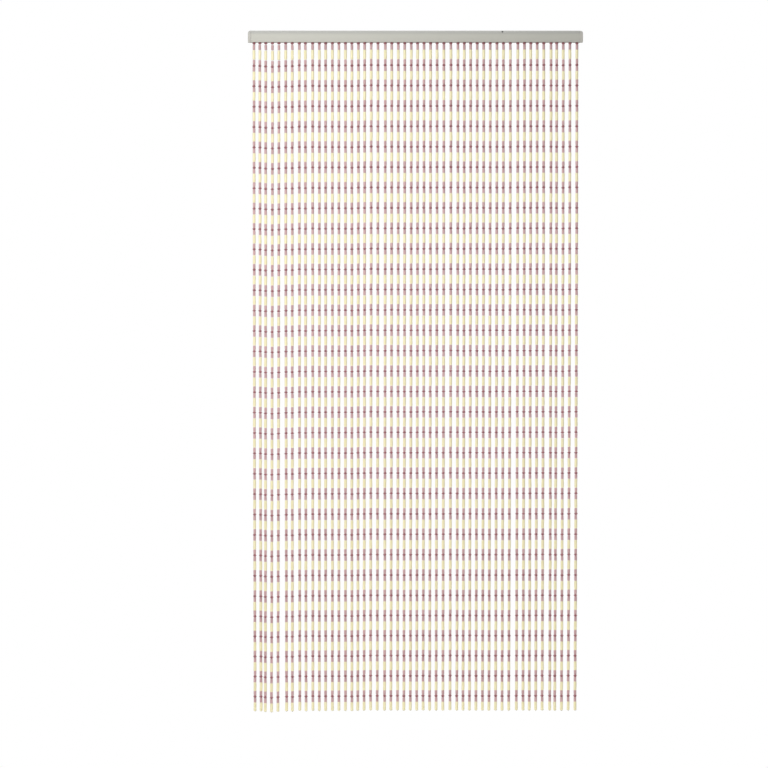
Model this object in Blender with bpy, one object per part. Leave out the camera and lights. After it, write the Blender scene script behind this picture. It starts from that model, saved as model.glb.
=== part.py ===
# Bead curtain for a doorway, hung from a grey rail.
# Metres, +Z up. The rail runs along X, its back face lies at y = 0 and the curtain faces -Y.
# The origin is the middle of the rail's back face.

import math
import random

import bmesh
import bpy
from mathutils import Matrix, Vector

# Rail
RAIL_LENGTH = 1.000
RAIL_HEIGHT = 0.035
RAIL_DEPTH = 0.016
RAIL_WALL = 0.0014
SHOULDER_RADIUS = 0.008
SHOULDER_STEPS = 8
SLOT_WIDTH = 0.009
HOLE_DIAMETER = 0.0046
HOLE_X = 0.2596
HOLE_BELOW_TOP = 0.0042
HOLE_SEGMENTS = 20

# End caps
CAP_LENGTH = 0.009
CAP_TOP_RADIUS = 0.007
CAP_EDGE_RADIUS = 0.0015
CAP_STEPS = 6
TONGUE_LENGTH = 0.014
TONGUE_LOW = -0.0095
TONGUE_HIGH = 0.0075
TONGUE_CLEARANCE = 0.0004

# Carrier strips and strands
STRANDS_A_STRIP = 10
STRAND_PITCH = 0.01945
STRIP_CENTERS = (-0.3965, -0.1995, -0.0027, 0.1948, 0.3937)
STRIP_LENGTH = 0.1880
STRIP_THICKNESS = 0.004
STRAND_SIDE = 0.0075
STRAND_LENGTH = 1.996
STRAND_RINGS = 18

# How the strands hang
LEAN_POWER = 1.6
LEAN_FROM_STRAND = 17
LEAN_FIRST = -0.0020
LEAN_LAST = -0.0057
PLACE_JITTER = 0.0006
SWAY_DEPTH = 0.0022
DROP_JITTER = 0.0010
LEFT_DROP = 0.0013
SEED = 7

# Gap that neighbours keep, and the angle in degrees up to which faces are shaded as one
GAP = 0.0003
SMOOTH_ANGLE = 35

STRIPS = len(STRIP_CENTERS)
STRANDS = STRIPS * STRANDS_A_STRIP
RAIL_TOP = RAIL_HEIGHT / 2
RAIL_BOTTOM = -RAIL_HEIGHT / 2
SLOT_Y = -RAIL_DEPTH / 2

# Strands that hang unlike their neighbours: how far the root is off its place, how far the end leans
# along X, and how much lower it hangs.
UNEVEN_STRANDS = {
    1: {"root": 0.0020, "lean": 0.0034, "drop": 0.0025},
    2: {"root": 0.0000, "lean": 0.0037, "drop": 0.0029},
    3: {"root": -0.0019, "lean": -0.0012, "drop": 0.0047},
    4: {"root": -0.0012, "lean": -0.0029, "drop": 0.0057},
    5: {"root": -0.0013, "lean": -0.0032, "drop": 0.0045},
    6: {"root": -0.0006, "lean": 0.0027, "drop": 0.0030},
    7: {"root": -0.0005, "lean": 0.0005, "drop": 0.0034},
    8: {"root": 0.0011, "lean": 0.0014, "drop": 0.0014},
    9: {"root": -0.0001, "lean": 0.0022, "drop": 0.0023},
    10: {"root": 0.0021, "lean": 0.0007, "drop": 0.0012},
    31: {"root": -0.0010, "lean": -0.0029, "drop": 0.0000},
    40: {"root": 0.0016, "lean": -0.0053, "drop": 0.0008},
    46: {"root": 0.0018, "lean": -0.0041, "drop": 0.0003},
    47: {"root": -0.0006, "lean": -0.0063, "drop": 0.0008},
    50: {"root": 0.0013, "lean": -0.0059, "drop": 0.0002},
}


def clear_scene():
    for obj in list(bpy.data.objects):
        bpy.data.objects.remove(obj, do_unlink=True)


def make_material(name, color, roughness, metallic=0.0):
    material = bpy.data.materials.new(name)
    material.use_nodes = True
    shader = material.node_tree.nodes["Principled BSDF"]
    shader.inputs["Base Color"].default_value = (*color, 1.0)
    shader.inputs["Roughness"].default_value = roughness
    shader.inputs["Metallic"].default_value = metallic
    return material


def mesh_object(name, shape, material, smooth_angle=None):
    mesh = bpy.data.meshes.new(name)
    bmesh.ops.recalc_face_normals(shape, faces=shape.faces)
    shape.to_mesh(mesh)
    shape.free()
    mesh.materials.append(material)
    if smooth_angle is not None:
        mesh.shade_smooth()
        mesh.set_sharp_from_angle(angle=smooth_angle)
    obj = bpy.data.objects.new(name, mesh)
    bpy.context.collection.objects.link(obj)
    return obj


def arc(center_y, center_z, radius, start, end, steps):
    points = []
    for step in range(steps + 1):
        angle = math.radians(start + (end - start) * step / steps)
        points.append((center_y + radius * math.cos(angle), center_z + radius * math.sin(angle)))
    return points


def hood(inset, top_inset=0.0, back_inset=0.0):
    """Outline (y, z) from the back bottom corner over the shoulder to the front bottom corner."""
    radius = SHOULDER_RADIUS - inset
    top = RAIL_TOP - inset - top_inset
    center_y = -RAIL_DEPTH + SHOULDER_RADIUS
    back = -back_inset
    shoulder = arc(center_y, top - radius, radius, 90, 180, SHOULDER_STEPS)
    bottom = RAIL_BOTTOM + inset
    return [(back, bottom), (back, top), *shoulder, (-RAIL_DEPTH + inset, bottom)]


def rail_section():
    """Closed C outline: the outer skin, the slot's front lip, the inner skin, the slot's back lip."""
    outer = hood(0.0)
    inner = hood(RAIL_WALL, back_inset=RAIL_WALL)
    slot_front = SLOT_Y - SLOT_WIDTH / 2
    slot_back = SLOT_Y + SLOT_WIDTH / 2
    lip_top = RAIL_BOTTOM + RAIL_WALL
    front_lip = [(slot_front, RAIL_BOTTOM), (slot_front, lip_top)]
    back_lip = [(slot_back, lip_top), (slot_back, RAIL_BOTTOM)]
    return outer + front_lip + inner[::-1] + back_lip


def extrude_section(section, start_x, end_x):
    shape = bmesh.new()
    verts = [shape.verts.new((start_x, y, z)) for y, z in section]
    face = shape.faces.new(verts)
    result = bmesh.ops.extrude_face_region(shape, geom=[face], use_keep_orig=True)
    moved = [item for item in result["geom"] if isinstance(item, bmesh.types.BMVert)]
    bmesh.ops.translate(shape, verts=moved, vec=(end_x - start_x, 0.0, 0.0))
    return shape


def add_cutter(name, shape, target):
    mesh = bpy.data.meshes.new(name)
    shape.to_mesh(mesh)
    shape.free()
    cutter = bpy.data.objects.new(name, mesh)
    bpy.context.collection.objects.link(cutter)
    cutter.hide_render = True
    cutter.display_type = "WIRE"
    cut = target.modifiers.new(name, "BOOLEAN")
    cut.operation = "DIFFERENCE"
    cut.object = cutter


def make_rail(material):
    half = RAIL_LENGTH / 2 - CAP_LENGTH - GAP
    channel = extrude_section(rail_section(), -half, half)
    rail = mesh_object("rail", channel, material, math.radians(SMOOTH_ANGLE))
    drill = bmesh.new()
    drill_length = SHOULDER_RADIUS
    bmesh.ops.create_cone(
        drill,
        cap_ends=True,
        segments=HOLE_SEGMENTS,
        radius1=HOLE_DIAMETER / 2,
        radius2=HOLE_DIAMETER / 2,
        depth=drill_length,
    )
    bmesh.ops.rotate(drill, verts=drill.verts, matrix=Matrix.Rotation(math.pi / 2, 3, "X"))
    place = (HOLE_X, -RAIL_DEPTH + drill_length / 2 - RAIL_WALL, RAIL_TOP - HOLE_BELOW_TOP)
    bmesh.ops.translate(drill, verts=drill.verts, vec=place)
    add_cutter("hole_drill", drill, rail)


def round_inset(radius, reach):
    """How far a rounded corner has drawn in at a distance reach inside the radius."""
    return radius - math.sqrt(max(radius * radius - reach * reach, 0.0))


def make_cap(name, side, material):
    """Rings run outward from the rail's end, and the last ones draw in to round the outer corners."""
    start = RAIL_LENGTH / 2 - CAP_LENGTH
    stations = [0.0]
    for step in range(CAP_STEPS + 1):
        angle = math.radians(90 * step / CAP_STEPS)
        stations.append(CAP_LENGTH - CAP_TOP_RADIUS + CAP_TOP_RADIUS * math.sin(angle))
    shape = bmesh.new()
    rings = []
    for station in stations:
        top_reach = max(station - (CAP_LENGTH - CAP_TOP_RADIUS), 0.0)
        edge_reach = max(station - (CAP_LENGTH - CAP_EDGE_RADIUS), 0.0)
        edge = round_inset(CAP_EDGE_RADIUS, edge_reach)
        top = round_inset(CAP_TOP_RADIUS, top_reach)
        outline = hood(edge, top_inset=max(top - edge, 0.0))
        x = side * (start + station)
        rings.append([shape.verts.new((x, y, z)) for y, z in outline])
    shape.faces.new(rings[0])
    for inner, outer in zip(rings, rings[1:]):
        for index in range(len(inner)):
            after = (index + 1) % len(inner)
            shape.faces.new((inner[index], inner[after], outer[after], outer[index]))
    shape.faces.new(rings[-1][::-1])
    add_tongue(shape, rings[0], side, start)
    mesh_object(name, shape, material, math.radians(SMOOTH_ANGLE))


def add_tongue(shape, ring, side, start):
    """The tongue grows from the cap's inner face, inside the rail's hollow and above the strips."""
    face = next(face for face in shape.faces if set(face.verts) == set(ring))
    shape.faces.remove(face)
    front = -RAIL_DEPTH + RAIL_WALL + TONGUE_CLEARANCE
    back = -RAIL_WALL - TONGUE_CLEARANCE
    x = side * start
    root = [
        shape.verts.new((x, back, TONGUE_LOW)),
        shape.verts.new((x, back, TONGUE_HIGH)),
        shape.verts.new((x, front, TONGUE_HIGH)),
        shape.verts.new((x, front, TONGUE_LOW)),
    ]
    edges = [shape.edges.get((ring[index], ring[(index + 1) % len(ring)])) for index in range(len(ring))]
    edges += [shape.edges.new((root[index], root[(index + 1) % 4])) for index in range(4)]
    bmesh.ops.triangle_fill(shape, edges=edges, use_beauty=True)
    plug = shape.faces.new(root)
    result = bmesh.ops.extrude_discrete_faces(shape, faces=[plug])
    tip = result["faces"][0]
    bmesh.ops.translate(shape, verts=tip.verts, vec=(-side * TONGUE_LENGTH, 0.0, 0.0))


def strand_place(number):
    """Even place of a strand's root along X, by its strip."""
    strip, slot = divmod(number - 1, STRANDS_A_STRIP)
    slot_x = (slot - (STRANDS_A_STRIP - 1) / 2) * STRAND_PITCH
    return STRIP_CENTERS[strip] + slot_x


def hang_table():
    """One row a strand: root, lean of the end, how much lower it hangs, and its sway in depth."""
    dice = random.Random(SEED)
    table = []
    for number in range(1, STRANDS + 1):
        shift = dice.uniform(-PLACE_JITTER, PLACE_JITTER)
        sway = dice.uniform(-SWAY_DEPTH, SWAY_DEPTH)
        low = dice.uniform(0.0, DROP_JITTER)
        if number < LEAN_FROM_STRAND:
            lean = 0.0
            low += LEFT_DROP
        else:
            share = (number - LEAN_FROM_STRAND) / (STRANDS - LEAN_FROM_STRAND)
            lean = LEAN_FIRST + (LEAN_LAST - LEAN_FIRST) * share
        uneven = UNEVEN_STRANDS.get(number, {"root": shift, "lean": lean, "drop": low})
        table.append({
            "root": strand_place(number) + uneven["root"],
            "lean": uneven["lean"],
            "drop": uneven["drop"],
            "sway": sway,
        })
    return table


def strand_point(row, depth):
    """Middle of a strand at a depth below the rail."""
    share = max(depth, 0.0) / STRAND_LENGTH
    x = row["root"] + row["lean"] * share ** LEAN_POWER
    y = SLOT_Y + row["sway"] * share
    return Vector((x, y, RAIL_BOTTOM - depth))


def make_strip(index, rows, material):
    """A carrier strip on the slot's lips, cut into cells; the strands grow down from their cells."""
    low = RAIL_BOTTOM + RAIL_WALL + GAP
    width = RAIL_DEPTH - 2 * RAIL_WALL - 2 * GAP
    size = Vector((STRIP_LENGTH, width, STRIP_THICKNESS))
    middle = Vector((STRIP_CENTERS[index], SLOT_Y, low + STRIP_THICKNESS / 2))
    shape = bmesh.new()
    bmesh.ops.create_cube(shape, size=1.0)
    bmesh.ops.scale(shape, verts=shape.verts, vec=size)
    bmesh.ops.translate(shape, verts=shape.verts, vec=middle)
    half = STRAND_SIDE / 2
    for y in (SLOT_Y - half, SLOT_Y + half):
        split(shape, Vector((0.0, y, 0.0)), Vector((0.0, 1.0, 0.0)))
    for row in rows:
        for x in (row["root"] - half, row["root"] + half):
            split(shape, Vector((x, 0.0, 0.0)), Vector((1.0, 0.0, 0.0)))
    for row in rows:
        grow_strand(shape, row, Vector((row["root"], SLOT_Y, low)))
    mesh_object(f"strands_{index + 1}", shape, material)


def split(shape, point, normal):
    geometry = list(shape.verts) + list(shape.edges) + list(shape.faces)
    bmesh.ops.bisect_plane(shape, geom=geometry, plane_co=point, plane_no=normal, dist=1e-7)


def grow_strand(shape, row, root):
    face = min(shape.faces, key=lambda item: (item.calc_center_median() - root).length)
    here = root
    for ring in range(STRAND_RINGS + 1):
        depth = (STRAND_LENGTH + row["drop"]) * ring / STRAND_RINGS
        there = strand_point(row, depth)
        result = bmesh.ops.extrude_discrete_faces(shape, faces=[face])
        face = result["faces"][0]
        bmesh.ops.translate(shape, verts=face.verts, vec=there - here)
        here = there


def main():
    clear_scene()
    coated = make_material("coated_metal", (0.56, 0.55, 0.51), 0.45, 0.3)
    moulded = make_material("moulded_grey", (0.50, 0.49, 0.46), 0.5)
    rose = make_material("rose_strand", (0.45, 0.24, 0.25), 0.35)
    make_rail(coated)
    make_cap("cap_left", -1, moulded)
    make_cap("cap_right", 1, moulded)
    table = hang_table()
    for index in range(STRIPS):
        first = index * STRANDS_A_STRIP
        make_strip(index, table[first:first + STRANDS_A_STRIP], rose)


main()
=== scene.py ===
# A bead curtain for a doorway, dressed: drawn aluminium rail, moulded end caps, five carrier strips and
# fifty strands of plum beads, rose tubes and cream tubes threaded on clear line.
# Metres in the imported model's frame: the rail runs along X, its back is at y = 0, the curtain faces -Y.
import math
import random

import bmesh
import bpy
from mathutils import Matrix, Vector


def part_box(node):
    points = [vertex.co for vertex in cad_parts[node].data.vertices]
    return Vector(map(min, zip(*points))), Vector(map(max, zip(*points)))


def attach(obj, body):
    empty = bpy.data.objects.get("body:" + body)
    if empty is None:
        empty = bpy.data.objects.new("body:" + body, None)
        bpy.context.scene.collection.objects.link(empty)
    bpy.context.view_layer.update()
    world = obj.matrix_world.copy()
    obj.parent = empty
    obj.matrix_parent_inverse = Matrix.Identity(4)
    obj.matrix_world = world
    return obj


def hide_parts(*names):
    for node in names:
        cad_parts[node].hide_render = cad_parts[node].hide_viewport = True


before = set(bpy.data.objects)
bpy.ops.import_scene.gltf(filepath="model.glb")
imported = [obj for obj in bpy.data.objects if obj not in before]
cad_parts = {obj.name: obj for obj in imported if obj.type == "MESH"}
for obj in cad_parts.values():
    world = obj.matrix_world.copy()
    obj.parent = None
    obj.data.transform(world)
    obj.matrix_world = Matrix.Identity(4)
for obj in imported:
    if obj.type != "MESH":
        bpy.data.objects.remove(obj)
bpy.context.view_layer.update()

# Camera: level, straight on, placed from where the rail lies in the photograph's frame
FRAME_PX = 768
RAIL_CENTER_PX = 415.4
RAIL_BOTTOM_PX = 42.0
LENS_MM = 102
SENSOR_MM = 36
CAMERA_DISTANCE = 6.5

# Rail and end caps
RAIL_LENGTH = 1.000
RAIL_HEIGHT = 0.035
RAIL_DEPTH = 0.016
RAIL_WALL = 0.0014
SHOULDER_RADIUS = 0.008
SHOULDER_STEPS = 14
SLOT_WIDTH = 0.009
HOLE_DIAMETER = 0.0046
HOLE_X = 0.2596
HOLE_BELOW_TOP = 0.0042
HOLE_SEGMENTS = 32
RIM_SOFTENING = 0.00025
CAP_LENGTH = 0.009
CAP_TOP_RADIUS = 0.007
CAP_EDGE_RADIUS = 0.0015
CAP_STEPS = 9
TONGUE_LENGTH = 0.014
TONGUE_LOW = -0.0095
TONGUE_HIGH = 0.0075
TONGUE_CLEARANCE = 0.0004

# Carrier strips
STRANDS_A_STRIP = 10
STRAND_PITCH = 0.01945
STRIP_CENTERS = (-0.3965, -0.1995, -0.0027, 0.1948, 0.3937)
STRIP_LENGTH = 0.1880
STRIP_THICKNESS = 0.004
STRIP_RIM = 0.0014
TROUGH_DEPTH = 0.0022

# How the strands hang, as in the CAD source
STRAND_LENGTH = 1.996
LEAN_POWER = 1.6
LEAN_FROM_STRAND = 17
LEAN_FIRST = -0.0020
LEAN_LAST = -0.0057
PLACE_JITTER = 0.0006
SWAY_DEPTH = 0.0022
DROP_JITTER = 0.0010
LEFT_DROP = 0.0013
HANG_SEED = 7
GAP = 0.0003
UNEVEN_STRANDS = {
    1: {"root": 0.0020, "lean": 0.0034, "drop": 0.0025},
    2: {"root": 0.0000, "lean": 0.0037, "drop": 0.0029},
    3: {"root": -0.0019, "lean": -0.0012, "drop": 0.0047},
    4: {"root": -0.0012, "lean": -0.0029, "drop": 0.0057},
    5: {"root": -0.0013, "lean": -0.0032, "drop": 0.0045},
    6: {"root": -0.0006, "lean": 0.0027, "drop": 0.0030},
    7: {"root": -0.0005, "lean": 0.0005, "drop": 0.0034},
    8: {"root": 0.0011, "lean": 0.0014, "drop": 0.0014},
    9: {"root": -0.0001, "lean": 0.0022, "drop": 0.0023},
    10: {"root": 0.0021, "lean": 0.0007, "drop": 0.0012},
    31: {"root": -0.0010, "lean": -0.0029, "drop": 0.0000},
    40: {"root": 0.0016, "lean": -0.0053, "drop": 0.0008},
    46: {"root": 0.0018, "lean": -0.0041, "drop": 0.0003},
    47: {"root": -0.0006, "lean": -0.0063, "drop": 0.0008},
    50: {"root": 0.0013, "lean": -0.0059, "drop": 0.0002},
}

# What is threaded on a strand
BEAD_DIAMETER = 0.0104
BEAD_HEIGHT = 0.0064
ROSE_DIAMETER = 0.0081
ROSE_LENGTH = 0.0134
CREAM_DIAMETER = 0.0086
CREAM_LENGTH = 0.0255
TUBE_WALL = 0.0013
TUBE_RIM = 0.00035
SIDES = 10
BEAD_RINGS = 8
LINE_DIAMETER = 0.0008
LINE_POINTS = 18
KNOT_DIAMETER = 0.0022
KNOT_FLATNESS = 0.8
KNOT_SINK = 0.35
STOP_DIAMETER = 0.0036
STOP_HEIGHT = 0.0020
STOP_ROUNDING = 0.3

# Where it is threaded, as depths below the rail. The first repeat is a little longer than the others,
# and the lowest ones have closed up.
REPEATS = 32
REPEAT = 0.06092
TIGHT_REPEATS = 5
TIGHT_REPEAT = 0.05997
TOP_BEAD = 0.0028
TOP_ROSE = 0.0137
TOP_ROSE_STRETCH = 1.13
TOP_CREAM = 0.0355
TOP_CREAM_STRETCH = 1.08
SECOND_BEAD = 0.0674
ROSE_OFFSET = 0.0103

# Share of a strand's extra drop that its top rose and cream tubes take
TOP_ROSE_DROP = 0.35
TOP_CREAM_DROP = 0.7

# Looseness of what is threaded, and how its tones vary
THREAD_SEED = 23
SLIDE = 0.00012
OFF_LINE = 0.00025
TILT = math.radians(1.1)
END_TILT = 0.2
SIZE_SPREAD = 0.02
STRAND_TONES = (0.35, 0.65)
TONE_SPREAD = 0.35

STRIPS = len(STRIP_CENTERS)
STRANDS = STRIPS * STRANDS_A_STRIP
RAIL_TOP = RAIL_HEIGHT / 2
RAIL_BOTTOM = -RAIL_HEIGHT / 2
SLOT_Y = -RAIL_DEPTH / 2
STRIP_LOW = RAIL_BOTTOM + RAIL_WALL + GAP
TROUGH_FLOOR = STRIP_LOW + STRIP_THICKNESS - TROUGH_DEPTH

# A face looks along an axis where its normal reaches this share of it
FACING = 0.9

# Angles in degrees up to which neighbouring faces are shaded as one
METAL_SMOOTH = 35
CAP_SMOOTH = 40
THREADED_SMOOTH = 40
LINE_SMOOTH = 60

# Stage
FLOOR_DROP = 0.60
FLOOR_SIZE = 4.0
LIGHT_COLOR = (1.0, 0.99, 0.97)
CEILING_STRENGTH = 1.3
CEILING_ANGLE = 25
SIDE_POWER = 29.0
SIDE_SIZE = 1.2
REAR_COLOR = (1.0, 0.99, 0.98)
REAR_STRENGTH = 1.2
REAR_ANGLE = 40
ROOM_STRENGTH = 0.44


class Wire:
    """A value in a node tree. Python's operators add the Math nodes; node() adds any other node."""

    def __init__(self, tree, socket=None):
        self.tree = tree
        self.socket = socket

    def node(self, kind, settings=None, values=None, output=0):
        made = self.tree.nodes.new(kind)
        for name, value in (settings or {}).items():
            setattr(made, name, value)
        for name, value in (values or {}).items():
            if isinstance(value, Wire):
                self.tree.links.new(value.socket, made.inputs[name])
            else:
                made.inputs[name].default_value = value
        return Wire(self.tree, made.outputs[output] if len(made.outputs) else None)

    def math(self, operation, first, second):
        return self.node("ShaderNodeMath", {"operation": operation}, {0: first, 1: second})

    def __add__(self, other):
        return self.math("ADD", self, other)

    def __radd__(self, other):
        return self.math("ADD", other, self)

    def __sub__(self, other):
        return self.math("SUBTRACT", self, other)

    def __rsub__(self, other):
        return self.math("SUBTRACT", other, self)

    def __mul__(self, other):
        return self.math("MULTIPLY", self, other)

    def __rmul__(self, other):
        return self.math("MULTIPLY", other, self)

    def __abs__(self):
        return self.math("ABSOLUTE", self, 0.0)

    def between(self, low, high):
        """0 below low, 1 above high and a smooth step between them."""
        values = {"Value": self, "From Min": low, "From Max": high}
        return self.node("ShaderNodeMapRange", {"interpolation_type": "SMOOTHSTEP"}, values)


def blend_colors(graph, share, first, second):
    """Colour between the first, at share 0, and the second, at share 1."""
    first = first if isinstance(first, Wire) else (*first, 1.0)
    second = second if isinstance(second, Wire) else (*second, 1.0)
    settings = {"data_type": "RGBA", "clamp_factor": True}
    return graph.node("ShaderNodeMix", settings, {0: share, 6: first, 7: second}, output=2)


def stretch_vector(graph, vector, scale):
    return graph.node("ShaderNodeVectorMath", {"operation": "MULTIPLY"}, {0: vector, 1: scale})


def grain(graph, vector, scale, detail=3.0, roughness=0.55, seed=0.0):
    """Noise from 0 to 1; the seed, which may be a wire, gives each bead or tube its own."""
    values = {"Vector": vector, "W": seed, "Scale": scale, "Detail": detail, "Roughness": roughness}
    return graph.node("ShaderNodeTexNoise", {"noise_dimensions": "4D"}, values)


def raised(graph, height, distance, strength):
    values = {"Height": height, "Distance": distance, "Strength": strength}
    return graph.node("ShaderNodeBump", {}, values)


def start_material(name, fixed):
    """A Principled material with the sockets that are the same all over, and its tree to draw on."""
    material = bpy.data.materials.new(name)
    material.use_nodes = True
    shader = material.node_tree.nodes["Principled BSDF"]
    for socket, value in fixed.items():
        shader.inputs[socket].default_value = value
    return material, shader, Wire(material.node_tree)


def feed(graph, shader, wires):
    for socket, wire in wires.items():
        graph.tree.links.new(wire.socket, shader.inputs[socket])


def own_coordinates(graph):
    """Where a point lies on its own bead or tube, with Z along the bore."""
    return graph.node("ShaderNodeAttribute", {"attribute_name": "own"}, {}, "Vector")


def own_tone(graph):
    """0 to 1, different for each bead or tube."""
    return graph.node("ShaderNodeAttribute", {"attribute_name": "tone"}, {}, "Fac")


def tube_material(name, pale, body, deep, half_length, roughness):
    """Extruded plastic: streaks along the tube, paler cut ends and a tone of each tube's own."""
    fixed = {"IOR": 1.48, "Coat Weight": 0.12, "Coat Roughness": 0.18}
    material, shader, graph = start_material(name, fixed)
    own = own_coordinates(graph)
    tone = own_tone(graph)
    seed = tone * 41.0
    streaks = grain(graph, stretch_vector(graph, own, (1.0, 1.0, 0.035)), 1500.0, 4.0, 0.6, seed)
    clouds = grain(graph, own, 160.0, 2.0, 0.5, seed + 7.0)
    along = graph.node("ShaderNodeSeparateXYZ", {}, {0: own}, "Z") * (1.0 / half_length)
    cut_end = abs(along).between(0.90, 1.0)
    share = tone * 0.6 + streaks * 0.4
    mottled = blend_colors(graph, share, deep, body)
    clouded = blend_colors(graph, clouds.between(0.42, 0.78) * 0.35, mottled, pale)
    color = blend_colors(graph, cut_end * 0.45, clouded, pale)
    rough = streaks * 0.16 + clouds * 0.08 + cut_end * 0.12 + (roughness - 0.12)
    normal = raised(graph, streaks, 0.00009, 0.5)
    feed(graph, shader, {"Base Color": color, "Roughness": rough, "Normal": normal})
    return material


def bead_material(name, pale, body, deep):
    """Moulded, polished beads: a faint swirl, a paler rim at the bore and a parting line round the middle."""
    fixed = {"IOR": 1.48, "Coat Weight": 0.18, "Coat Roughness": 0.15}
    material, shader, graph = start_material(name, fixed)
    own = own_coordinates(graph)
    tone = own_tone(graph)
    seed = tone * 53.0
    swirl = grain(graph, stretch_vector(graph, own, (1.0, 1.0, 2.4)), 330.0, 4.0, 0.62, seed)
    fine = grain(graph, own, 1900.0, 2.0, 0.5, seed + 3.0)
    height = graph.node("ShaderNodeSeparateXYZ", {}, {0: own}, "Z")
    rim = abs(height).between(BEAD_HEIGHT * 0.43, BEAD_HEIGHT * 0.5)
    seam = 1.0 - abs(height).between(0.00008, 0.00028)
    share = tone * 0.55 + swirl * 0.45
    mottled = blend_colors(graph, share, deep, body)
    color = blend_colors(graph, rim * 0.5 + seam * 0.12, mottled, pale)
    rough = fine * 0.12 + swirl * 0.10 + rim * 0.18 + 0.20
    normal = raised(graph, fine * 0.25 + seam * 0.75, 0.00006, 0.6)
    feed(graph, shader, {"Base Color": color, "Roughness": rough, "Normal": normal})
    return material


def coating_material(name, look):
    """Satin coating on drawn aluminium: lines along the draw, fine orange peel, rubbed lips and ends, and
    painted shade that darkens the top shoulder.
    """
    material, shader, graph = start_material(name, {"IOR": 1.45, "Specular IOR Level": 0.25})
    place = graph.node("ShaderNodeTexCoord", {}, {}, "Object")
    x = graph.node("ShaderNodeSeparateXYZ", {}, {0: place}, "X")
    z = graph.node("ShaderNodeSeparateXYZ", {}, {0: place}, "Z")
    lines = grain(graph, stretch_vector(graph, place, (0.012, 1.0, 1.0)), 900.0, 5.0, 0.65, 1.0)
    peel = grain(graph, place, 1400.0, 2.0, 0.5, 2.0)
    drift = grain(graph, place, 6.0, 3.0, 0.5, 3.0)
    # Painted shade: a band over the rounded top shoulder is painted darker, standing in for less light
    # reaching it.
    painted_crest_shade = z.between(look["painted_shade_low"], look["painted_shade_high"])
    lips = 1.0 - z.between(RAIL_BOTTOM + 0.0002, RAIL_BOTTOM + 0.0011)
    ends = abs(x).between(RAIL_LENGTH / 2 - CAP_LENGTH - 0.0030, RAIL_LENGTH / 2 - CAP_LENGTH)
    drawn = blend_colors(graph, lines * 0.6 + drift * 0.4, look["deep"], look["body"])
    shade_painted = blend_colors(graph, painted_crest_shade * look["painted_shade_share"], drawn, look["painted_crest_shade"])
    rubbed = blend_colors(graph, lips * 0.35 + ends * 0.15 * peel, shade_painted, look["pale"])
    rough = lines * 0.10 + peel * 0.08 + (look["roughness"] - 0.09)
    metal = 0.05 + lips * 0.25
    normal = raised(graph, peel * 0.6 + lines * 0.4, 0.00005, 0.45)
    wires = {"Base Color": rubbed, "Roughness": rough, "Metallic": metal, "Normal": normal}
    feed(graph, shader, wires)
    return material


def moulded_material(name, look):
    """Matt moulded plastic with a fine spark-eroded texture, and painted shade that darkens the top shoulder.
    """
    material, shader, graph = start_material(name, {"IOR": 1.46})
    place = graph.node("ShaderNodeTexCoord", {}, {}, "Object")
    texture = grain(graph, place, 2600.0, 3.0, 0.6, 5.0)
    drift = grain(graph, place, 70.0, 3.0, 0.5, 6.0)
    z = graph.node("ShaderNodeSeparateXYZ", {}, {0: place}, "Z")
    # Painted shade: a band over the rounded top shoulder is painted darker, standing in for less light
    # reaching it.
    painted_crest_shade = z.between(look["painted_shade_low"], look["painted_shade_high"])
    mottled = blend_colors(graph, texture * 0.5 + drift * 0.5, look["deep"], look["body"])
    color = blend_colors(graph, painted_crest_shade * look["painted_shade_share"], mottled, look["painted_crest_shade"])
    rough = texture * 0.14 + drift * 0.06 + (look["roughness"] - 0.10)
    normal = raised(graph, texture, 0.00008, 0.5)
    feed(graph, shader, {"Base Color": color, "Roughness": rough, "Normal": normal})
    return material


def line_material(name):
    """Clear nylon line, drawn and faintly milky."""
    fixed = {"IOR": 1.53, "Transmission Weight": 0.35}
    material, shader, graph = start_material(name, fixed)
    place = graph.node("ShaderNodeTexCoord", {}, {}, "Object")
    drawn = grain(graph, stretch_vector(graph, place, (1.0, 1.0, 0.05)), 2400.0, 3.0, 0.5, 8.0)
    milky = grain(graph, place, 240.0, 2.0, 0.5, 9.0)
    color = blend_colors(graph, milky * 0.6 + drawn * 0.4, (0.74, 0.72, 0.69), (0.90, 0.89, 0.86))
    rough = drawn * 0.14 + 0.16
    normal = raised(graph, drawn, 0.00003, 0.4)
    feed(graph, shader, {"Base Color": color, "Roughness": rough, "Normal": normal})
    return material


def strip_material(name):
    """Natural white moulded plastic of the carrier strips."""
    material, shader, graph = start_material(name, {"IOR": 1.49})
    place = graph.node("ShaderNodeTexCoord", {}, {}, "Object")
    flow = grain(graph, stretch_vector(graph, place, (0.15, 1.0, 1.0)), 420.0, 3.0, 0.55, 11.0)
    fine = grain(graph, place, 2100.0, 2.0, 0.5, 12.0)
    color = blend_colors(graph, flow, (0.52, 0.50, 0.47), (0.68, 0.66, 0.62))
    rough = fine * 0.16 + flow * 0.08 + 0.30
    normal = raised(graph, fine * 0.5 + flow * 0.5, 0.00006, 0.4)
    feed(graph, shader, {"Base Color": color, "Roughness": rough, "Normal": normal})
    return material


def pick(obj):
    bpy.ops.object.select_all(action="DESELECT")
    obj.select_set(True)
    bpy.context.view_layer.objects.active = obj


def name_new(name):
    """Names what was just added, and puts its place, turn and size into its mesh."""
    obj = bpy.context.object
    obj.name = name
    obj.data.name = name
    bpy.ops.object.transform_apply(location=True, rotation=True, scale=True)
    return obj


def add_block(name, low, high):
    bpy.ops.object.select_all(action="DESELECT")
    low = Vector(low)
    high = Vector(high)
    bpy.ops.mesh.primitive_cube_add(size=1.0, location=(low + high) / 2, scale=high - low)
    return name_new(name)


def add_rod(name, middle, radius, length, sides, turn=(0.0, 0.0, 0.0)):
    bpy.ops.object.select_all(action="DESELECT")
    bpy.ops.mesh.primitive_cylinder_add(
        vertices=sides, radius=radius, depth=length, location=middle, rotation=turn
    )
    return name_new(name)


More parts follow.
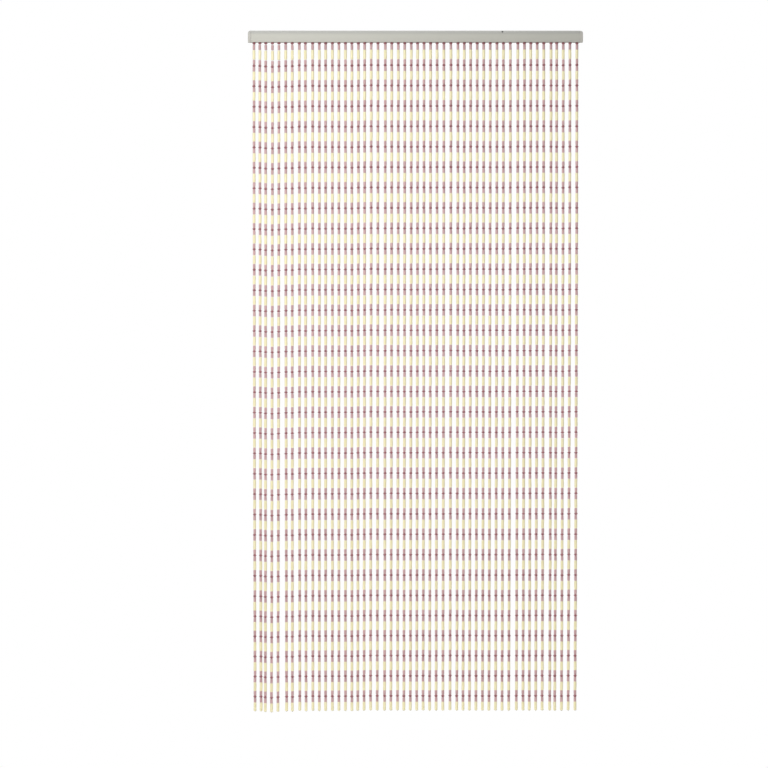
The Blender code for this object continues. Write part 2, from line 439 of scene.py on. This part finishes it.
def choose(obj, kind, test):
    """In edit mode, selects the faces, edges or corners that pass the test, and nothing else."""
    if bpy.context.mode != "EDIT_MESH":
        pick(obj)
        bpy.ops.object.mode_set(mode="EDIT")
    bpy.ops.mesh.select_mode(type=kind)
    bpy.ops.mesh.select_all(action="DESELECT")
    shape = bmesh.from_edit_mesh(obj.data)
    for item in {"FACE": shape.faces, "EDGE": shape.edges, "VERT": shape.verts}[kind]:
        if test(item):
            item.select_set(True)
    bmesh.update_edit_mesh(obj.data)


def leave_edit():
    bpy.ops.object.mode_set(mode="OBJECT")


def near(value, target, reach=1e-5):
    return abs(value - target) < reach


def finish_with(obj, kind, **settings):
    """Adds a modifier and applies it."""
    pick(obj)
    modifier = obj.modifiers.new(kind.lower(), kind)
    for name, value in settings.items():
        setattr(modifier, name, value)
    bpy.ops.object.modifier_apply(modifier=modifier.name)


def shade(obj, degrees):
    pick(obj)
    bpy.ops.object.shade_smooth_by_angle(angle=math.radians(degrees))


def settle(obj, slot, *nodes):
    """Every piece rides on the one body and stands for its CAD nodes; the slot is not used."""
    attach(obj, "root")
    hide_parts(*nodes)


def soften(obj, width, segments=2, degrees=50):
    finish_with(
        obj,
        "BEVEL",
        width=width,
        segments=segments,
        limit_method="ANGLE",
        angle_limit=math.radians(degrees),
        use_clamp_overlap=True,
    )


def combine(obj, other, operation):
    """Cuts the other shape out of a piece, or joins it on, and removes the other shape."""
    finish_with(obj, "BOOLEAN", operation=operation, solver="EXACT", object=other)
    bpy.data.objects.remove(other, do_unlink=True)


def round_shoulder(obj):
    """Rounds the long edge at the top of the front."""

    def on_edge(edge):
        return all(near(v.co.y, -RAIL_DEPTH) and near(v.co.z, RAIL_TOP) for v in edge.verts)

    choose(obj, "EDGE", on_edge)
    bpy.ops.mesh.bevel(offset=SHOULDER_RADIUS, segments=SHOULDER_STEPS)


def make_rail(material):
    """A drawn channel: rounded front shoulder, open ends, and a slot between two lips underneath."""
    low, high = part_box("rail")
    rail = add_block("rail_channel", low, high)
    round_shoulder(rail)
    for side in (-1, 1):
        choose(rail, "FACE", lambda face: face.normal.z < -FACING)
        bpy.ops.mesh.bisect(plane_co=(0.0, SLOT_Y + side * SLOT_WIDTH / 2, 0.0), plane_no=(0.0, 1.0, 0.0))

    def is_open(face):
        middle = face.calc_center_median()
        in_slot = face.normal.z < -FACING and abs(middle.y - SLOT_Y) < SLOT_WIDTH / 2
        return in_slot or abs(face.normal.x) > FACING

    choose(rail, "FACE", is_open)
    bpy.ops.mesh.delete(type="FACE")
    leave_edit()
    finish_with(rail, "SOLIDIFY", thickness=RAIL_WALL, offset=-1.0, use_even_offset=True)
    soften(rail, RIM_SOFTENING)
    reach = SHOULDER_RADIUS
    middle = (HOLE_X, -RAIL_DEPTH - RAIL_WALL + reach / 2, RAIL_TOP - HOLE_BELOW_TOP)
    drill = add_rod("hole_drill", middle, HOLE_DIAMETER / 2, reach, HOLE_SEGMENTS, (math.pi / 2, 0.0, 0.0))
    combine(rail, drill, "DIFFERENCE")
    shade(rail, METAL_SMOOTH)
    rail.data.materials.append(material)
    settle(rail, "coated_metal", "rail")
    return rail


def round_inset(radius, reach):
    """How far a rounded corner has drawn in at a distance reach inside the radius."""
    return radius - math.sqrt(max(radius * radius - reach * reach, 0.0))


def make_cap(node, side, material):
    """A moulded cap with the rail's shoulder, drawn out in small steps to a round top corner."""
    low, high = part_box(node)
    root = side * (RAIL_LENGTH / 2 - CAP_LENGTH)
    straight = side * (RAIL_LENGTH / 2 - CAP_TOP_RADIUS)
    block_low = (min(root, straight), -RAIL_DEPTH, RAIL_BOTTOM)
    block_high = (max(root, straight), 0.0, RAIL_TOP)
    cap = add_block(node + "_moulding", block_low, block_high)
    round_shoulder(cap)
    choose(cap, "FACE", lambda face: face.normal.x * side > FACING)
    last = (0.0, 0.0, 0.0)
    for step in range(1, CAP_STEPS + 1):
        reach = CAP_TOP_RADIUS * math.sin(math.radians(90 * step / CAP_STEPS))
        top = round_inset(CAP_TOP_RADIUS, reach)
        edge = round_inset(CAP_EDGE_RADIUS, max(reach - (CAP_TOP_RADIUS - CAP_EDGE_RADIUS), 0.0))
        outward = (side * (reach - last[0]), 0.0, 0.0)
        bpy.ops.mesh.extrude_region_move(TRANSFORM_OT_translate={"value": outward})
        shrink_face(last[1:], (top, edge), straight + side * reach)
        last = (reach, top, edge)
    leave_edit()
    combine(cap, add_tongue_block(node + "_tongue", root, side), "UNION")
    soften(cap, RIM_SOFTENING, degrees=70)
    shade(cap, CAP_SMOOTH)
    cap.data.materials.append(material)
    settle(cap, "moulded_grey", node)
    return cap


def add_tongue_block(name, root, side):
    """The tongue that plugs into the rail's hollow, above the carrier strips."""
    ends = (root - side * TONGUE_LENGTH, root + side * CAP_EDGE_RADIUS)
    inset = RAIL_WALL + TONGUE_CLEARANCE
    low = (min(ends), -RAIL_DEPTH + inset, TONGUE_LOW)
    high = (max(ends), -inset, TONGUE_HIGH)
    return add_block(name, low, high)


def shrink_face(before, after, x):
    """Draws the selected end face in from the insets (top, edge) before to those after."""
    top_before, edge_before = before
    top_after, edge_after = after
    height_before = RAIL_HEIGHT - top_before - edge_before
    height_after = RAIL_HEIGHT - top_after - edge_after
    depth_share = (RAIL_DEPTH - 2 * edge_after) / (RAIL_DEPTH - 2 * edge_before)
    height_share = height_after / height_before
    low_before = RAIL_BOTTOM + edge_before
    still_z = low_before + (edge_after - edge_before) / (1.0 - height_share)
    bpy.ops.transform.resize(value=(1.0, depth_share, height_share), center_override=(x, SLOT_Y, still_z))


def strand_place(number):
    """Even place of a strand's root along X, by its strip."""
    strip, slot = divmod(number - 1, STRANDS_A_STRIP)
    slot_x = (slot - (STRANDS_A_STRIP - 1) / 2) * STRAND_PITCH
    return STRIP_CENTERS[strip] + slot_x


def hang_table():
    """One row a strand: root, lean of the end, how much lower it hangs, and its sway in depth."""
    dice = random.Random(HANG_SEED)
    table = []
    for number in range(1, STRANDS + 1):
        shift = dice.uniform(-PLACE_JITTER, PLACE_JITTER)
        sway = dice.uniform(-SWAY_DEPTH, SWAY_DEPTH)
        low = dice.uniform(0.0, DROP_JITTER)
        if number < LEAN_FROM_STRAND:
            lean = 0.0
            low += LEFT_DROP
        else:
            share = (number - LEAN_FROM_STRAND) / (STRANDS - LEAN_FROM_STRAND)
            lean = LEAN_FIRST + (LEAN_LAST - LEAN_FIRST) * share
        uneven = UNEVEN_STRANDS.get(number, {"root": shift, "lean": lean, "drop": low})
        root = strand_place(number) + uneven["root"]
        table.append({"root": root, "lean": uneven["lean"], "drop": uneven["drop"], "sway": sway})
    return table


def strand_point(row, depth):
    """Middle of a strand at a depth below the rail."""
    share = max(depth, 0.0) / STRAND_LENGTH
    x = row["root"] + row["lean"] * share**LEAN_POWER
    y = SLOT_Y + row["sway"] * share
    return Vector((x, y, RAIL_BOTTOM - depth))


def threaded(row):
    """What is on a strand, from the rail down: kind, depth of its middle and how much longer it is."""
    drop = row["drop"]
    parts = [
        ("bead", TOP_BEAD, 1.0),
        ("rose", TOP_ROSE + TOP_ROSE_DROP * drop, TOP_ROSE_STRETCH),
        ("cream", TOP_CREAM + TOP_CREAM_DROP * drop, TOP_CREAM_STRETCH),
    ]
    middle = SECOND_BEAD + drop
    for number in range(REPEATS):
        repeat = REPEAT if number < REPEATS - TIGHT_REPEATS - 1 else TIGHT_REPEAT
        parts.append(("rose", middle - ROSE_OFFSET, 1.0))
        parts.append(("bead", middle, 1.0))
        parts.append(("rose", middle + ROSE_OFFSET, 1.0))
        parts.append(("cream", middle + repeat / 2, 1.0))
        middle += repeat
    return parts


def make_tube(name, diameter, length, material):
    """One cut length of tube: a bore through a thin wall, and rims just broken by the cutter."""
    tube = add_rod(name, (0.0, 0.0, 0.0), diameter / 2, length, SIDES)
    choose(tube, "FACE", lambda face: abs(face.normal.z) > FACING)
    bpy.ops.mesh.inset(thickness=TUBE_WALL)
    bpy.ops.mesh.bridge_edge_loops()
    choose(tube, "EDGE", lambda edge: is_rim(edge, diameter / 2, length / 2))
    bpy.ops.mesh.bevel(offset=TUBE_RIM, segments=1)
    leave_edit()
    return finish_pattern(tube, material)


def is_rim(edge, radius, height):
    """True for an edge round either end of a rod, and not for one along its side."""
    first, second = edge.verts
    on_end = near(first.co.z, second.co.z) and near(abs(first.co.z), height)
    return on_end and all(near(v.co.xy.length, radius) for v in edge.verts)


def make_bead(name, material):
    """One oblate bead: a ball with its poles cut off, and a bore through."""
    bpy.ops.object.select_all(action="DESELECT")
    pole_share = math.cos(math.pi / BEAD_RINGS)
    size = (BEAD_DIAMETER / 2, BEAD_DIAMETER / 2, BEAD_HEIGHT / 2 / pole_share)
    bpy.ops.mesh.primitive_uv_sphere_add(segments=SIDES, ring_count=BEAD_RINGS, radius=1.0, scale=size)
    bead = name_new(name)
    pole = BEAD_HEIGHT / 2 / pole_share
    choose(bead, "VERT", lambda vert: near(abs(vert.co.z), pole))
    bpy.ops.mesh.delete(type="VERT")
    choose(bead, "EDGE", lambda edge: edge.is_boundary)
    bpy.ops.mesh.bridge_edge_loops()
    leave_edit()
    return finish_pattern(bead, material)


def make_stop(name, material):
    """The small clear stop at a strand's end, with the tail of the line below it."""
    stop = add_rod(name, (0.0, 0.0, 0.0), STOP_DIAMETER / 2, STOP_HEIGHT, SIDES)
    choose(stop, "EDGE", lambda edge: is_rim(edge, STOP_DIAMETER / 2, STOP_HEIGHT / 2))
    bpy.ops.mesh.bevel(offset=STOP_HEIGHT * STOP_ROUNDING, segments=2)
    leave_edit()
    return finish_pattern(stop, material)


def make_knot(name, material):
    """The knot that holds a line on its carrier strip."""
    bpy.ops.object.select_all(action="DESELECT")
    flat = (1.0, 1.0, KNOT_FLATNESS)
    bpy.ops.mesh.primitive_ico_sphere_add(subdivisions=2, radius=KNOT_DIAMETER / 2, scale=flat)
    return finish_pattern(name_new(name), material)


def finish_pattern(obj, material):
    """Shades a pattern, notes each corner's own place on it, and gives it its material."""
    choose(obj, "FACE", lambda face: True)
    bpy.ops.mesh.normals_make_consistent(inside=False)
    leave_edit()
    shade(obj, THREADED_SMOOTH)
    own = obj.data.attributes.new("own", "FLOAT_VECTOR", "POINT")
    for corner, vert in zip(own.data, obj.data.vertices):
        corner.vector = vert.co
    obj.data.materials.append(material)
    return obj


def threading_group(pattern):
    """Geometry nodes that set a copy of the pattern on every point, turned and sized as the point says."""
    tree = bpy.data.node_groups.new("thread_" + pattern.name, "GeometryNodeTree")
    tree.interface.new_socket("Geometry", in_out="INPUT", socket_type="NodeSocketGeometry")
    tree.interface.new_socket("Geometry", in_out="OUTPUT", socket_type="NodeSocketGeometry")
    graph = Wire(tree)
    points = graph.node("NodeGroupInput")
    shape = graph.node("GeometryNodeObjectInfo", {}, {"Object": pattern}, "Geometry")
    turn = graph.node("GeometryNodeInputNamedAttribute", {"data_type": "FLOAT_VECTOR"}, {"Name": "turn"})
    size = graph.node("GeometryNodeInputNamedAttribute", {"data_type": "FLOAT_VECTOR"}, {"Name": "size"})
    values = {"Points": points, "Instance": shape, "Rotation": turn, "Scale": size}
    copies = graph.node("GeometryNodeInstanceOnPoints", {}, values)
    joined = graph.node("GeometryNodeRealizeInstances", {}, {"Geometry": copies})
    graph.node("NodeGroupOutput", {}, {"Geometry": joined})
    return tree


def thread(name, pattern, places):
    """One joined mesh with a copy of the pattern at each place: (point, turn, size, tone)."""
    mesh = bpy.data.meshes.new(name)
    mesh.from_pydata([place[0] for place in places], [], [])
    for key, column, kind in (("turn", 1, "FLOAT_VECTOR"), ("size", 2, "FLOAT_VECTOR"), ("tone", 3, "FLOAT")):
        attribute = mesh.attributes.new(key, kind, "POINT")
        for corner, place in zip(attribute.data, places):
            if kind == "FLOAT":
                corner.value = place[column]
            else:
                corner.vector = place[column]
    obj = bpy.data.objects.new(name, mesh)
    bpy.context.collection.objects.link(obj)
    finish_with(obj, "NODES", node_group=threading_group(pattern))
    for key in ("turn", "size"):
        obj.data.attributes.remove(obj.data.attributes[key])
    return obj


def strand_places(rows, dice):
    """Where every bead and tube of one strip's strands sits, by kind."""
    places = {"bead": [], "rose": [], "cream": []}
    for row in rows:
        strand_tone = dice.uniform(*STRAND_TONES)
        for kind, depth, stretch in threaded(row):
            slide = dice.uniform(-SLIDE, SLIDE)
            side = Vector((dice.uniform(-OFF_LINE, OFF_LINE), dice.uniform(-OFF_LINE, OFF_LINE), 0.0))
            tilt_x = dice.uniform(-TILT, TILT)
            tilt_y = dice.uniform(-TILT, TILT)
            turn = (tilt_x, tilt_y, dice.uniform(0.0, 2 * math.pi))
            girth = 1.0 + dice.uniform(-SIZE_SPREAD, SIZE_SPREAD)
            tone = min(max(strand_tone + dice.uniform(-TONE_SPREAD, TONE_SPREAD), 0.0), 1.0)
            point = strand_point(row, depth + slide) + side
            places[kind].append((point, turn, (girth, girth, stretch), tone))
    return places


def end_places(rows, dice, depth_of):
    """Where the stops or the knots of one strip's strands sit."""
    places = []
    for row in rows:
        tilt_x = dice.uniform(-END_TILT, END_TILT)
        tilt_y = dice.uniform(-END_TILT, END_TILT)
        turn = (tilt_x, tilt_y, dice.uniform(0.0, 2 * math.pi))
        places.append((strand_point(row, depth_of(row)), turn, (1.0, 1.0, 1.0), dice.random()))
    return places


def make_lines(name, rows, material):
    """The clear lines of one strip's strands, from their knots to below their stops."""
    curve = bpy.data.curves.new(name, "CURVE")
    curve.dimensions = "3D"
    curve.bevel_depth = LINE_DIAMETER / 2
    curve.bevel_resolution = 1
    curve.use_fill_caps = True
    first = RAIL_BOTTOM - TROUGH_FLOOR
    for row in rows:
        last = STRAND_LENGTH + row["drop"]
        spline = curve.splines.new("POLY")
        spline.points.add(LINE_POINTS - 1)
        for index, point in enumerate(spline.points):
            share = index / (LINE_POINTS - 1)
            point.co = (*strand_point(row, first + (last - first) * share), 1.0)
    obj = bpy.data.objects.new(name, curve)
    bpy.context.collection.objects.link(obj)
    pick(obj)
    bpy.ops.object.convert(target="MESH")
    lines = bpy.context.object
    shade(lines, LINE_SMOOTH)
    lines.data.materials.clear()
    lines.data.materials.append(material)
    return lines


def make_carrier(name, index, material):
    """A carrier strip on the slot's lips: a shallow trough along the top keeps the knots."""
    center = STRIP_CENTERS[index]
    half_width = RAIL_DEPTH / 2 - RAIL_WALL - GAP
    low = (center - STRIP_LENGTH / 2, SLOT_Y - half_width, STRIP_LOW)
    high = (center + STRIP_LENGTH / 2, SLOT_Y + half_width, STRIP_LOW + STRIP_THICKNESS)
    carrier = add_block(name, low, high)
    choose(carrier, "FACE", lambda face: face.normal.z > FACING)
    bpy.ops.mesh.inset(thickness=STRIP_RIM)
    bpy.ops.mesh.extrude_region_move(TRANSFORM_OT_translate={"value": (0.0, 0.0, -TROUGH_DEPTH)})
    leave_edit()
    soften(carrier, RIM_SOFTENING)
    shade(carrier, METAL_SMOOTH)
    carrier.data.materials.append(material)
    return carrier


def make_strands(materials):
    """Each strip of ten strands becomes joined meshes of one kind each, which stand for its CAD node."""
    patterns = {
        "bead": make_bead("bead_pattern", materials["plum_bead"]),
        "rose": make_tube("rose_pattern", ROSE_DIAMETER, ROSE_LENGTH, materials["rose_tube"]),
        "cream": make_tube("cream_pattern", CREAM_DIAMETER, CREAM_LENGTH, materials["cream_tube"]),
        "stop": make_stop("stop_pattern", materials["clear_line"]),
        "knot": make_knot("knot_pattern", materials["clear_line"]),
    }
    pieces = {
        "bead": ("plum_beads", "plum_bead"),
        "rose": ("rose_tubes", "rose_tube"),
        "cream": ("cream_tubes", "cream_tube"),
    }
    dice = random.Random(THREAD_SEED)
    table = hang_table()
    stop_depth = STRAND_LENGTH - STOP_HEIGHT / 2 - LINE_DIAMETER / 2
    knot_depth = RAIL_BOTTOM - TROUGH_FLOOR - KNOT_DIAMETER * KNOT_SINK
    for index in range(STRIPS):
        node = f"strands_{index + 1}"
        rows = table[index * STRANDS_A_STRIP:(index + 1) * STRANDS_A_STRIP]
        for kind, places in strand_places(rows, dice).items():
            piece, slot = pieces[kind]
            settle(thread(f"{piece}_{index + 1}", patterns[kind], places), slot, node)
        stop_places = end_places(rows, dice, lambda row: stop_depth + row["drop"])
        settle(thread(f"end_stops_{index + 1}", patterns["stop"], stop_places), "clear_line", node)
        knot_places = end_places(rows, dice, lambda row: knot_depth)
        settle(thread(f"knots_{index + 1}", patterns["knot"], knot_places), "clear_line", node)
        settle(make_lines(f"lines_{index + 1}", rows, materials["clear_line"]), "clear_line", node)
        carrier = make_carrier(f"carrier_strip_{index + 1}", index, materials["beaded_strand"])
        settle(carrier, "beaded_strand", node)
    for pattern in patterns.values():
        bpy.data.objects.remove(pattern, do_unlink=True)


def make_materials():
    # In both looks the crest colour, band and share paint shade on the top shoulder, so it is painted darker
    # than the front.
    rail_look = {
        "pale": (0.64, 0.64, 0.60),
        "body": (0.58, 0.58, 0.53),
        "deep": (0.525, 0.525, 0.48),
        "painted_crest_shade": (0.43, 0.435, 0.42),
        "painted_shade_low": RAIL_TOP - 0.0150,
        "painted_shade_high": RAIL_TOP - 0.0050,
        "painted_shade_share": 0.8,
        "roughness": 0.60,
    }
    cap_look = {
        "body": (0.55, 0.54, 0.505),
        "deep": (0.50, 0.49, 0.455),
        "painted_crest_shade": (0.44, 0.44, 0.42),
        "painted_shade_low": RAIL_TOP - 0.0150,
        "painted_shade_high": RAIL_TOP - 0.0050,
        "painted_shade_share": 0.8,
        "roughness": 0.60,
    }
    rose = {"pale": (0.75, 0.565, 0.56), "body": (0.665, 0.42, 0.425), "deep": (0.50, 0.31, 0.32)}
    cream = {"pale": (0.94, 0.90, 0.71), "body": (0.915, 0.855, 0.555), "deep": (0.86, 0.79, 0.48)}
    plum = {"pale": (0.48, 0.25, 0.27), "body": (0.38, 0.135, 0.155), "deep": (0.28, 0.09, 0.115)}
    return {
        "coated_metal": coating_material("satin_grey_coating", rail_look),
        "moulded_grey": moulded_material("moulded_grey_plastic", cap_look),
        "beaded_strand": strip_material("carrier_strip_plastic"),
        "rose_tube": tube_material("rose_plastic", **rose, half_length=ROSE_LENGTH / 2, roughness=0.40),
        "cream_tube": tube_material("cream_plastic", **cream, half_length=CREAM_LENGTH / 2, roughness=0.42),
        "plum_bead": bead_material("plum_plastic", **plum),
        "clear_line": line_material("clear_nylon"),
    }


def make_camera():
    """Level and straight on. Its place comes from the rail's middle and lower edge in the frame."""
    pixel = CAMERA_DISTANCE * SENSOR_MM / LENS_MM / FRAME_PX
    front_pixel = pixel * (CAMERA_DISTANCE - RAIL_DEPTH / 2) / CAMERA_DISTANCE
    x = -(RAIL_CENTER_PX - FRAME_PX / 2) * pixel
    z = RAIL_BOTTOM - (FRAME_PX / 2 - RAIL_BOTTOM_PX) * front_pixel
    bpy.ops.object.camera_add(location=(x, SLOT_Y - CAMERA_DISTANCE, z), rotation=(math.pi / 2, 0.0, 0.0))
    camera = bpy.context.object
    camera.name = "camera"
    camera.data.lens = LENS_MM
    camera.data.sensor_width = SENSOR_MM
    bpy.context.scene.camera = camera


def add_light(name, kind, place, target, power, color):
    bpy.ops.object.light_add(type=kind, location=place)
    light = bpy.context.object
    light.name = name
    light.rotation_euler = (Vector(target) - Vector(place)).to_track_quat("-Z", "Y").to_euler()
    light.data.energy = power
    light.data.color = color
    return light.data


def make_lights():
    """Soft light from high up in front, a nearer one at the left that falls off, and a fill for the back."""
    origin = (0.0, 0.0, 0.0)
    ceiling = add_light("ceiling_light", "SUN", (-0.5, -0.9, 3.0), origin, CEILING_STRENGTH, LIGHT_COLOR)
    ceiling.angle = math.radians(CEILING_ANGLE)
    side = add_light("side_light", "AREA", (-1.1, -2.1, -0.15), (0.0, 0.0, -0.9), SIDE_POWER, LIGHT_COLOR)
    side.shape = "DISK"
    side.size = SIDE_SIZE
    rear = add_light("rear_fill", "SUN", (0.3, 1.0, 0.2), origin, REAR_STRENGTH, REAR_COLOR)
    rear.angle = math.radians(REAR_ANGLE)


def make_world():
    """A white room: the camera sees it plain white, and its light is softer, a little less from above."""
    world = bpy.data.worlds.new("white_room")
    bpy.context.scene.world = world
    world.use_nodes = True
    world.node_tree.nodes.clear()
    graph = Wire(world.node_tree)
    direction = graph.node("ShaderNodeTexCoord", {}, {}, "Generated")
    height = graph.node("ShaderNodeSeparateXYZ", {}, {0: direction}, "Z")
    glow = blend_colors(graph, height.between(-0.3, 0.9), (0.92, 0.91, 0.89), (1.0, 1.0, 1.0))
    lighting = graph.node("ShaderNodeBackground", {}, {"Color": glow, "Strength": ROOM_STRENGTH})
    seen = graph.node("ShaderNodeBackground", {}, {"Color": (1.0, 1.0, 1.0, 1.0), "Strength": 1.0})
    is_camera = graph.node("ShaderNodeLightPath", {}, {}, "Is Camera Ray")
    both = graph.node("ShaderNodeMixShader", {}, {0: is_camera, 1: lighting, 2: seen})
    graph.node("ShaderNodeOutputWorld", {}, {"Surface": both})


def make_floor():
    """A plain pale floor below the strands' ends."""
    bpy.ops.object.select_all(action="DESELECT")
    level = RAIL_BOTTOM - STRAND_LENGTH - FLOOR_DROP
    bpy.ops.mesh.primitive_plane_add(size=FLOOR_SIZE, location=(0.0, 0.0, level))
    floor = name_new("floor")
    material, shader, graph = start_material("pale_floor", {"Specular IOR Level": 0.2})
    place = graph.node("ShaderNodeTexCoord", {}, {}, "Object")
    drift = grain(graph, place, 1.5, 2.0, 0.5, 20.0)
    color = blend_colors(graph, drift, (0.94, 0.94, 0.93), (0.97, 0.97, 0.96))
    feed(graph, shader, {"Base Color": color, "Roughness": drift * 0.05 + 0.75})
    floor.data.materials.append(material)


bpy.ops.object.select_all(action="DESELECT")
bpy.context.scene.view_settings.view_transform = "Standard"
make_camera()
make_world()
make_lights()
make_floor()

materials = make_materials()
make_rail(materials["coated_metal"])
make_cap("cap_left", -1, materials["moulded_grey"])
make_cap("cap_right", 1, materials["moulded_grey"])
make_strands(materials)
